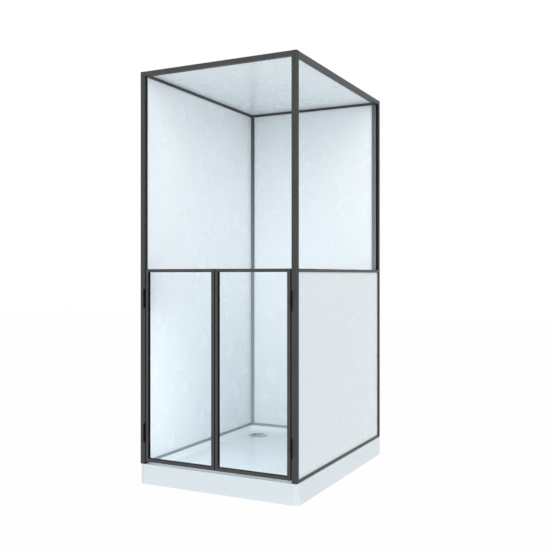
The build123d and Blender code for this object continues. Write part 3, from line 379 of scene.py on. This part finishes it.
def pane(name):
    """Clear tempered glass. Lamp light passes it, as it does a real pane."""
    g = Graph(name)
    rough = g.span(g.noise(3.0, 3.0), 0.0, 0.02)
    slow = g.span(g.noise(1.5, 1.0), 0.0, 1.0)
    tint = g.blend(slow, rgb(0.975, 0.985, 0.99), rgb(0.985, 0.99, 0.995))
    glass = g.surface(tint, rough, IOR=1.45, Transmission_Weight=1.0)
    clear = g.add("ShaderNodeBsdfTransparent")
    clear.inputs["Color"].default_value = rgb(0.95, 0.965, 0.97)
    path = g.add("ShaderNodeLightPath")
    mix = g.add("ShaderNodeMixShader")
    g.link(path.outputs["Is Shadow Ray"], mix.inputs[0])
    g.link(glass, mix.inputs[1])
    g.link(clear.outputs["BSDF"], mix.inputs[2])
    return g.finish(mix.outputs["Shader"])


ANTHRACITE = powder_coat("anthracite_powder_coat")
# Left post: its inner, rightward faces are painted near-black, as painted shade.
POST_LEFT_PAINTED_SHADE = powder_coat("anthracite_left_post_painted_shade", specular=0.25, faces=[("X", 1, 0.002, 0.001)])
# Right post: its rightward faces are painted much darker than the rest, as painted shade.
POST_RIGHT_PAINTED_SHADE = powder_coat("anthracite_right_post_painted_shade", tone=0.034, faces=[("X", 1, 0.013, 0.014)])
# Corner post: its front and rightward faces are painted a light bluish grey, lightest at the foot, as
# painted reflection of the white surroundings.
CORNER_POST_PAINTED_LIGHT = powder_coat(
    "anthracite_corner_post_painted_light", roughness=0.4, specular=0.2,
    faces=[("Y", -1, 0.35, 0.07), ("X", 1, 0.35, 0.07)],
)
# Back post: its front faces are painted a light bluish grey, lightest at the foot, as painted reflection,
# and its rightward faces near-black, as painted shade.
BACK_POST_PAINTED_LIGHT_AND_SHADE = powder_coat(
    "anthracite_back_post_painted_light_and_shade", roughness=0.4,
    faces=[("Y", -1, 0.35, 0.13), ("X", 1, 0.004, 0.004)],
)
# Low rails: their rightward, front and upper faces are painted a light bluish grey, as painted light.
LOW_RAIL_PAINTED_LIGHT = powder_coat(
    "anthracite_low_rail_painted_light",
    faces=[("X", 1, 0.27, 0.27), ("Y", -1, 0.36, 0.36), ("Z", 1, 0.3, 0.3)],
)
# Door stiles: their rightward faces are painted near-black, as painted shade.
STILES_PAINTED_SHADE = powder_coat("anthracite_stiles_painted_shade", faces=[("X", 1, 0.003, 0.003)])
BLACK_PAINT = powder_coat("black_paint", tone=0.002, roughness=0.5, specular=0.1)
ACRYLIC = gloss_sheet("white_acrylic", rgb(0.80, 0.88, 0.92), rgb(0.79, 0.87, 0.91), 0.22, SHEET_RIPPLE)
# The side and back sheets are copies of the wall sheet: the side one painted lighter and bluer as painted
# light, the back one painted darker as painted shade.
PANEL, SIDE_PANEL_PAINTED_LIGHT, BACK_PANEL_PAINTED_SHADE = (
    gloss_sheet(sheet_name, colour, shade, SHEET_ROUGH, SHEET_RIPPLE)
    for sheet_name, colour, shade in (
        ("white_wall_sheet", rgb(0.828, 0.885, 0.918), rgb(0.82, 0.877, 0.91)),
        ("white_side_sheet_painted_light", rgb(0.836, 0.92, 0.96), rgb(0.828, 0.912, 0.952)),
        ("white_back_sheet_painted_shade", rgb(0.79, 0.845, 0.877), rgb(0.782, 0.837, 0.869)),
    )
)
GLASS = pane("clear_glass")
RUBBER = moulded("black_rubber", rgb(0.004, 0.004, 0.004), 0.8, 900.0, 0.05)
BLACK_PLASTIC = moulded("black_plastic", rgb(0.02, 0.02, 0.021), 0.5, 700.0)
WHITE_PLASTIC = moulded("white_plastic", rgb(0.72, 0.73, 0.72), 0.4, 400.0)
ZINC = metal("zinc_plate", rgb(0.5, 0.5, 0.52), 0.38, (1.0, 1.0, 12.0))
ALLOY = metal("cast_alloy", rgb(0.42, 0.43, 0.44), 0.55, (1.0, 1.0, 1.0))
CHROME = metal("satin_chrome", rgb(0.62, 0.65, 0.68), 0.25, (1.0, 14.0, 1.0))
BOARD = wood_board("particle_board")
COVER = cover_metal("drain_cover_chrome_painted_highlight", WASTE * MM, COVER_PAINTED_HIGHLIGHT_R * MM)
LIP_FRONT = (channel_low.y + CHANNEL_SKIN) * MM
LIP_SIDE = (channel_high.x - CHANNEL_LIP) * MM
CHANNEL = channel_coat("anthracite_channel_painted_slot_shade", 0.02, LIP_FRONT, LIP_SIDE)

SLOT_MATERIAL = {
    "frame": ANTHRACITE,
    "panel": PANEL,
    "tray": ACRYLIC,
    "glass": GLASS,
    "seal": RUBBER,
    "hinge": BLACK_PAINT,
    "steel": ZINC,
    "key": ALLOY,
    "chrome": CHROME,
    "board": BOARD,
    "plastic": BLACK_PLASTIC,
    "trap": WHITE_PLASTIC,
}
NODE_MATERIAL = {
    "front_left_post": POST_LEFT_PAINTED_SHADE,
    "front_right_post": POST_RIGHT_PAINTED_SHADE,
    "back_left_post": CORNER_POST_PAINTED_LIGHT,
    "back_right_post": BACK_POST_PAINTED_LIGHT_AND_SHADE,
    "side_channels": CHANNEL,
    "side_lower_panel": SIDE_PANEL_PAINTED_LIGHT,
    "back_wall_panel": BACK_PANEL_PAINTED_SHADE,
    "left_bottom_rail": LOW_RAIL_PAINTED_LIGHT,
    "back_bottom_rail": LOW_RAIL_PAINTED_LIGHT,
    "left_door_hinge_stile": STILES_PAINTED_SHADE,
    "left_door_meeting_stile": STILES_PAINTED_SHADE,
    "right_door_hinge_stile": STILES_PAINTED_SHADE,
    "right_door_meeting_stile": STILES_PAINTED_SHADE,
}
for part in frame["record"]["subparts"]:
    mesh = nodes[part["node"]].data
    mesh.materials.clear()
    mesh.materials.append(NODE_MATERIAL.get(part["node"], SLOT_MATERIAL[part["material_slot"]]))


# Mesh helpers. Points are in millimetres until a piece is made.

def new_piece(name, bm, slot, body, node):
    """Turns a bmesh into a piece that stands for a CAD node."""
    bmesh.ops.remove_doubles(bm, verts=bm.verts, dist=WELD)
    bmesh.ops.recalc_face_normals(bm, faces=bm.faces)
    for face in bm.faces:
        face.smooth = True
    for edge in bm.edges:
        edge.smooth = edge.calc_face_angle(0.0) < SMOOTH_BELOW
    bmesh.ops.scale(bm, vec=(MM, MM, MM), verts=bm.verts)
    mesh = bpy.data.meshes.new(name)
    bm.to_mesh(mesh)
    bm.free()
    mesh.materials.append(SLOT_MATERIAL[slot])
    piece = bpy.data.objects.new(name, mesh)
    bpy.context.scene.collection.objects.link(piece)
    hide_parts(node)
    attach(piece, body)
    return piece


def join_rings(bm, first, second):
    """Quads between two rings of the same number of vertices."""
    count = len(first)
    for step in range(count):
        after = (step + 1) % count
        bm.faces.new((first[step], first[after], second[after], second[step]))


def lathe(bm, centre, profile, steps=LATHE_STEPS):
    """Turns a profile of (radius, height) round an upright axis. It ends on the axis at both ends."""
    x, y = centre
    rings = []
    for radius, z in profile:
        if radius == 0:
            rings.append([bm.verts.new((x, y, z))])
            continue
        turns = [2 * math.pi * step / steps for step in range(steps)]
        rings.append([bm.verts.new((x + radius * math.cos(t), y + radius * math.sin(t), z)) for t in turns])
    for first, second in zip(rings, rings[1:]):
        if len(first) > 1 and len(second) > 1:
            join_rings(bm, first, second)
            continue
        pole, ring = (first, second) if len(first) == 1 else (second, first)
        for step in range(steps):
            bm.faces.new((pole[0], ring[step], ring[(step + 1) % steps]))


def arc(centre, radius, start, end, steps):
    """Points on an arc in (radius, height), its angles in degrees."""
    points = []
    for step in range(steps + 1):
        turn = math.radians(start + (end - start) * step / steps)
        points.append((centre[0] + radius * math.cos(turn), centre[1] + radius * math.sin(turn)))
    return points


def curve(start, corner, end, steps):
    """Points on a curve that leaves start and reaches end towards the same corner."""
    points = []
    for step in range(steps + 1):
        t = step / steps
        points.append(tuple(
            (1 - t) ** 2 * a + 2 * t * (1 - t) * b + t * t * c for a, b, c in zip(start, corner, end)
        ))
    return points


# Tray

def floor_height(x, y):
    """Height of the basin's floor, which falls to the waste."""
    away = (Vector((x, y)) - WASTE).length
    share = min(max((away - RECESS_R) / (FALL_R - RECESS_R), 0.0), 1.0)
    return FLOOR_LOW + (FLOOR_HIGH - FLOOR_LOW) * share


def tray_outline(inset, radius):
    """Points of a rounded rectangle inside the tray's edge, the same count whatever its size."""
    x0, x1 = tray_low.x + inset, tray_high.x - inset
    y0, y1 = tray_low.y + inset, tray_high.y - inset
    corners = (
        (x1 - radius, y0 + radius, -90),
        (x1 - radius, y1 - radius, 0),
        (x0 + radius, y1 - radius, 90),
        (x0 + radius, y0 + radius, 180),
    )
    points = []
    for index, (x, y, start) in enumerate(corners):
        bend = arc((x, y), radius, start, start + 90, CORNER_STEPS)
        points += bend
        next_x, next_y, next_start = corners[(index + 1) % 4]
        goal = arc((next_x, next_y), radius, next_start, next_start, 1)[0]
        for step in range(1, SIDE_STEPS):
            t = step / SIDE_STEPS
            points.append(tuple(a + (b - a) * t for a, b in zip(bend[-1], goal)))
    return points


def outline_ring(bm, inset, radius, height):
    """A ring of vertices round the tray. Height is a number or a function of the place."""
    ring = []
    for x, y in tray_outline(inset, radius):
        z = height(x, y) if callable(height) else height
        ring.append(bm.verts.new((x, y, z)))
    return ring


def waste_ring(bm, radius, z):
    """A ring of vertices round the waste."""
    turns = [2 * math.pi * step / COVER_STEPS for step in range(COVER_STEPS)]
    return [
        bm.verts.new((WASTE.x + radius * math.cos(t), WASTE.y + radius * math.sin(t), z))
        for t in turns
    ]


def fill_between(bm, outer, inner):
    """Triangles between an outline and a ring inside it."""
    edges = []
    for ring in (outer, inner):
        for first, second in zip(ring, ring[1:] + ring[:1]):
            edges.append(bm.edges.get((first, second)) or bm.edges.new((first, second)))
    bmesh.ops.triangle_fill(bm, use_beauty=True, use_dissolve=False, edges=edges)


def wall_ring(bm, inset, above):
    """A ring on the basin's sloping wall, at a height above the foot as a share of the wall."""
    def height(x, y):
        foot = floor_height(x, y)
        return foot + (TRAY_H - foot) * above
    return outline_ring(bm, inset, BASIN_R, height)


def make_tray():
    """One shell: apron, rolled rim edge, rim, basin with soft edges, floor and waste recess."""
    bm = bmesh.new()
    rings = [outline_ring(bm, 0, TRAY_R, 0.0)]
    for z in (*APRON_LEVELS, TRAY_H - RIM_EDGE - 4.0):
        rings.append(outline_ring(bm, 0, TRAY_R, z))
    for inward, z in arc((RIM_EDGE, TRAY_H - RIM_EDGE), RIM_EDGE, 180, 90, BEND_STEPS):
        rings.append(outline_ring(bm, inward, TRAY_R - inward, z))
    for inset in (RIM_EDGE + 3.0, 24.0, RIM_W - 7.0):
        rings.append(outline_ring(bm, inset, TRAY_R, TRAY_H))
    slope = TRAY_H - FLOOR_HIGH
    edge_end = (RIM_W + BASIN_EDGE * BASIN_SLOPE / slope, TRAY_H - BASIN_EDGE)
    edge = curve((RIM_W - BASIN_EDGE, TRAY_H), (RIM_W, TRAY_H), edge_end, BEND_STEPS)
    for inset, z in edge:
        rings.append(outline_ring(bm, inset, BASIN_R, z))
    foot_high = BASIN_FOOT / 2 / slope
    for above in (0.66, 0.45):
        rings.append(wall_ring(bm, RIM_W + BASIN_SLOPE * (1 - above), above))
    foot_start = (RIM_W + BASIN_SLOPE * (1 - foot_high), foot_high)
    foot_corner = (RIM_W + BASIN_SLOPE, 0.0)
    foot_end = (RIM_W + BASIN_SLOPE + BASIN_FOOT, 0.0)
    for inset, above in curve(foot_start, foot_corner, foot_end, BEND_STEPS):
        rings.append(wall_ring(bm, inset, above))
    for past in (3.0, 14.0):
        rings.append(outline_ring(bm, foot_end[0] + past, BASIN_R, floor_height))
    for first, second in zip(rings, rings[1:]):
        join_rings(bm, first, second)
    dish = []
    for radius in (DISH_R, RECESS_R + 6.0):
        dish.append(waste_ring(bm, radius, floor_height(WASTE.x + radius, WASTE.y)))
    recess = FLOOR_LOW - RECESS_DEPTH
    for radius, z in arc((RECESS_R + RECESS_EDGE, FLOOR_LOW - RECESS_EDGE), RECESS_EDGE, 90, 180, 4):
        dish.append(waste_ring(bm, radius, z))
    dish.append(waste_ring(bm, RECESS_R, recess))
    dish.append(waste_ring(bm, WASTE_HOLE_R, recess))
    dish.append(waste_ring(bm, WASTE_HOLE_R, UNDERSIDE))
    for first, second in zip(dish, dish[1:]):
        join_rings(bm, first, second)
    fill_between(bm, rings[-1], dish[0])
    under = [outline_ring(bm, RIM_W - RIM_T, BASIN_R, UNDERSIDE)]
    under.append(outline_ring(bm, RIM_W - RIM_T, BASIN_R, TRAY_H - RIM_T))
    under.append(outline_ring(bm, SKIN, TRAY_R - SKIN, TRAY_H - RIM_T))
    under.append(outline_ring(bm, SKIN, TRAY_R - SKIN, 0.0))
    for first, second in zip(under, under[1:]):
        join_rings(bm, first, second)
    fill_between(bm, under[0], dish[-1])
    join_rings(bm, under[-1], rings[0])
    tray = new_piece("tray_shell", bm, "tray", "frame_and_tray", "shower_tray")
    cut_notch(tray)


def cut_notch(tray):
    """Cuts the waste pipe's way out through the apron at the back."""
    cutter = bmesh.new()
    bmesh.ops.create_cube(cutter, size=1.0)
    bmesh.ops.scale(cutter, vec=(NOTCH_W, 8 * SKIN, 2 * NOTCH_H), verts=cutter.verts)
    bmesh.ops.translate(cutter, vec=(WASTE.x, tray_high.y, 0.0), verts=cutter.verts)
    bmesh.ops.scale(cutter, vec=(MM, MM, MM), verts=cutter.verts)
    mesh = bpy.data.meshes.new("notch_cutter")
    cutter.to_mesh(mesh)
    cutter.free()
    tool = bpy.data.objects.new("notch_cutter", mesh)
    bpy.context.scene.collection.objects.link(tool)
    step = tray.modifiers.new("notch", "BOOLEAN")
    step.operation = "DIFFERENCE"
    step.solver = "EXACT"
    step.object = tool
    graph = bpy.context.evaluated_depsgraph_get()
    made = bpy.data.meshes.new_from_object(tray.evaluated_get(graph))
    tray.modifiers.clear()
    old = tray.data
    tray.data = made
    bpy.data.meshes.remove(old)
    bpy.data.objects.remove(tool)
    bpy.data.meshes.remove(mesh)


def make_drain_cover():
    """Domed cover with a shallow groove near its edge, a centring ring below, and three pegs."""
    bm = bmesh.new()
    top = cover_high.z
    low = FLOOR_LOW + COVER_EDGE_LIFT
    bottom = cover_low.z
    rise = top - low - 2.0
    dome_r = (COVER_R ** 2 + rise ** 2) / (2 * rise)
    ease = COVER_EDGE_EASE

    def dome(radius):
        return top - dome_r + math.sqrt(dome_r ** 2 - radius ** 2)

    profile = [(0, top)]
    profile += [(radius, dome(radius)) for radius in (8, 16, 24, 32, 38, 42, COVER_GROOVE_IN)]
    for radius in (COVER_GROOVE_IN + 0.4, COVER_GROOVE_OUT - 0.4):
        profile.append((radius, dome(radius) - COVER_GROOVE_DEPTH))
    profile += [(radius, dome(radius)) for radius in (COVER_GROOVE_OUT, 48.0, COVER_R - 1.6)]
    profile += [
        (COVER_R - 0.6, low + 1.7), (COVER_R, low + 1.1), (COVER_R, low + ease), (COVER_R - ease, low),
    ]
    profile += [
        (COVER_RING_OUT, low), (COVER_RING_OUT, bottom + ease), (COVER_RING_OUT - ease, bottom),
        (COVER_RING_IN + ease, bottom), (COVER_RING_IN, bottom + ease), (COVER_RING_IN, low), (0, low),
    ]
    lathe(bm, WASTE, profile, COVER_STEPS)
    peg_top = low + COVER_PEG_SINK
    peg = [
        (0, FLOOR_LOW), (COVER_PEG_R - PEG_EDGE, FLOOR_LOW), (COVER_PEG_R, FLOOR_LOW + PEG_EDGE),
        (COVER_PEG_R, peg_top), (0, peg_top),
    ]
    for index in range(COVER_PEGS):
        turn = 2 * math.pi * index / COVER_PEGS
        centre = (WASTE.x + COVER_PEG_AT * math.cos(turn), WASTE.y + COVER_PEG_AT * math.sin(turn))
        lathe(bm, centre, peg)
    cover = new_piece("drain_cover_dome", bm, "chrome", "drain_cover", "drain_cover")
    cover.data.materials[0] = COVER


def make_hinge_pins():
    """Four pins with tapered, rounded tips."""
    bm = bmesh.new()
    low, high = (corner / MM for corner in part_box("hinge_pins"))
    y = (low.y + high.y) / 2
    reach = HINGE_L / 2
    tips = reach + PIN_TIP
    half = [
        (PIN_R, reach), (KNUCKLE_R - KNUCKLE_EDGE, reach), (KNUCKLE_R, reach + KNUCKLE_EDGE),
        (PIN_R, tips - PIN_EDGE), (PIN_R - PIN_EDGE, tips), (0, tips),
    ]
    for x in (low.x + KNUCKLE_R, high.x - KNUCKLE_R):
        for middle in (low.z + tips, high.z - tips):
            profile = [(r, middle - z) for r, z in reversed(half)] + [(r, middle + z) for r, z in half]
            lathe(bm, (x, y), profile)
    new_piece("hinge_pins_turned", bm, "hinge", "frame_and_tray", "hinge_pins")


# Door seals. A profile's first number runs inward from the frame's inner edge, its second from the face.

BEAD = (
    (-GLASS_GRIP, 6.5), (2.0, 6.5), (2.0, 5.9), (1.0, 4.9), (1.0, 1.4), (0.7, 0.9), (0.0, 0.9), (0.0, 5.4),
    (-GLASS_GRIP - GASKET_T, 5.4), (-GLASS_GRIP - GASKET_T, 12.6), (0.0, 12.6), (0.0, 17.1), (0.7, 17.1),
    (1.0, 16.6), (1.0, 13.1), (2.0, 12.1), (2.0, 11.5), (-GLASS_GRIP, 11.5),
)


def make_glazing_bead(door):
    """Rubber bead round the glass: it grips the pane and closes the frame's step on both faces.

    Its left upright has a wider lip than its other sides, as the photograph shows.
    """
    bm = bmesh.new()
    low, high = (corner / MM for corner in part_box(door + "_glass"))
    face_y = (low.y + high.y) / 2 - DOOR_T / 2
    rings = []
    for side_x, side_z in ((0, 0), (1, 0), (1, 1), (0, 1)):
        ring = []
        for inward, y in BEAD:
            left_inward = inward * LEFT_LIP_SHARE if inward > 0 else inward
            in_x = low.x + GLASS_GRIP + left_inward if side_x == 0 else high.x - GLASS_GRIP - inward
            in_z = low.z + GLASS_GRIP + inward if side_z == 0 else high.z - GLASS_GRIP - inward
            ring.append(bm.verts.new((in_x, face_y + y, in_z)))
        rings.append(ring)
    for first, second in zip(rings, rings[1:] + rings[:1]):
        join_rings(bm, first, second)
    new_piece(door + "_glazing_bead", bm, "seal", door, door + "_glazing_gasket")


def make_fin(door, end, node, nose):
    """Upright seal strip with a rounded nose towards the gap. Nose is the side it points to."""
    bm = bmesh.new()
    low, high = (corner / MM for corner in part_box(node))
    thick = high.y - low.y
    wide = high.x - low.x
    mid_y = (low.y + high.y) / 2
    radius = min(thick / 2, wide) * FIN_ROUND
    outline = [(0.0, -thick / 2), (0.0, thick / 2)]
    for degrees in range(0, 181, 20):
        turn = math.radians(degrees)
        outline.append((wide - radius + radius * math.sin(turn), thick / 2 * math.cos(turn)))
    levels = []
    for z in (low.z, high.z):
        ring = []
        for out, y in outline:
            x = low.x + out if nose > 0 else high.x - out
            ring.append(bm.verts.new((x, mid_y + y, z)))
        levels.append(ring)
    join_rings(bm, *levels)
    for ring in levels:
        bm.faces.new(ring)
    new_piece(door + end, bm, "seal", door, node)


make_tray()
make_drain_cover()
make_hinge_pins()
for door_name, outward in (("left_door", -1), ("right_door", 1)):
    make_glazing_bead(door_name)
    make_fin(door_name, "_hinge_fin", door_name + "_hinge_seal", outward)
    make_fin(door_name, "_magnet_strip", door_name + "_magnet_seal", -outward)


# Studio: a white world to the eye, a plain soft light to the object, and a white floor

def seen_ray(tree):
    """1 for camera, glossy and transmission rays, which see the white background."""
    path = tree.nodes.new("ShaderNodeLightPath")
    total = path.outputs["Is Camera Ray"]
    for name in ("Is Glossy Ray", "Is Transmission Ray"):
        node = tree.nodes.new("ShaderNodeMath")
        node.operation = "MAXIMUM"
        tree.links.new(total, node.inputs[0])
        tree.links.new(path.outputs[name], node.inputs[1])
        total = node.outputs[0]
    return total


def make_world():
    world = bpy.data.worlds.new("studio_world")
    bpy.context.scene.world = world
    world.use_nodes = True
    tree = world.node_tree
    tree.nodes.clear()
    light = tree.nodes.new("ShaderNodeBackground")
    light.inputs["Color"].default_value = rgb(1.0, 1.0, 1.0)
    light.inputs["Strength"].default_value = WORLD_LIGHT
    white = tree.nodes.new("ShaderNodeBackground")
    white.inputs["Color"].default_value = rgb(1.0, 1.0, 1.0)
    white.inputs["Strength"].default_value = 1.0
    mix = tree.nodes.new("ShaderNodeMixShader")
    tree.links.new(seen_ray(tree), mix.inputs[0])
    tree.links.new(light.outputs[0], mix.inputs[1])
    tree.links.new(white.outputs[0], mix.inputs[2])
    output = tree.nodes.new("ShaderNodeOutputWorld")
    tree.links.new(mix.outputs[0], output.inputs["Surface"])


def make_floor():
    mesh = bpy.data.meshes.new("studio_floor")
    half = FLOOR_SIZE / 2
    corners = [(-half, -half, 0), (half, -half, 0), (half, half, 0), (-half, half, 0)]
    mesh.from_pydata(corners, [], [(0, 1, 2, 3)])
    floor = bpy.data.objects.new("studio_floor", mesh)
    bpy.context.scene.collection.objects.link(floor)
    g = Graph("studio_floor_white")
    plain = g.surface(rgb(0.95, 0.95, 0.95), 0.9, Specular_IOR_Level=0.0)
    glow = g.add("ShaderNodeEmission")
    glow.inputs["Color"].default_value = rgb(1.0, 1.0, 1.0)
    glow.inputs["Strength"].default_value = 1.0
    share = g.add("ShaderNodeMath", operation="MULTIPLY")
    g.link(seen_ray(g.tree), share.inputs[0])
    share.inputs[1].default_value = FLOOR_SHOW
    mix = g.add("ShaderNodeMixShader")
    g.link(share.outputs[0], mix.inputs[0])
    g.link(plain, mix.inputs[1])
    g.link(glow.outputs[0], mix.inputs[2])
    mesh.materials.append(g.finish(mix.outputs[0]))


def make_sun(name, azimuth, elevation, strength):
    """A very soft distant lamp. Azimuth 0 stands in front of the doors and 90 on the right."""
    lamp = bpy.data.lights.new(name, "SUN")
    lamp.angle = math.radians(SUN_ANGLE)
    lamp.energy = strength
    thing = bpy.data.objects.new(name, lamp)
    bpy.context.scene.collection.objects.link(thing)
    turn, rise = math.radians(azimuth), math.radians(elevation)
    away = Vector((math.sin(turn) * math.cos(rise), -math.cos(turn) * math.cos(rise), math.sin(rise)))
    thing.rotation_euler = (-away).to_track_quat("-Z", "Y").to_euler()


def make_opening_lamp(name, centre, width, height, turn, level):
    """A soft box in one of the cabin's openings. It shines in, and the camera and the glass don't see it."""
    lamp = bpy.data.lights.new(name, "AREA")
    lamp.shape = "RECTANGLE"
    lamp.size, lamp.size_y = width, height
    lamp.energy = level * math.pi * width * height
    thing = bpy.data.objects.new(name, lamp)
    bpy.context.scene.collection.objects.link(thing)
    thing.location = centre
    thing.rotation_euler = (math.pi / 2, 0.0, turn)
    thing.visible_camera = False
    thing.visible_glossy = False
    thing.visible_transmission = False


def make_camera():
    data = bpy.data.cameras.new("photo_camera")
    data.lens = LENS_MM
    data.sensor_width = SENSOR_MM
    data.sensor_fit = "HORIZONTAL"
    camera = bpy.data.objects.new("photo_camera", data)
    bpy.context.scene.collection.objects.link(camera)
    camera.location = CAMERA_PLACE
    camera.rotation_euler = (math.pi / 2, 0.0, CAMERA_TURN)
    bpy.context.scene.camera = camera


make_world()
make_floor()
for lamp_settings in OPENING_LAMPS:
    make_opening_lamp(*lamp_settings)
make_sun(*DISTANT_LAMP)
make_camera()
bpy.context.scene.view_settings.view_transform = "Standard"
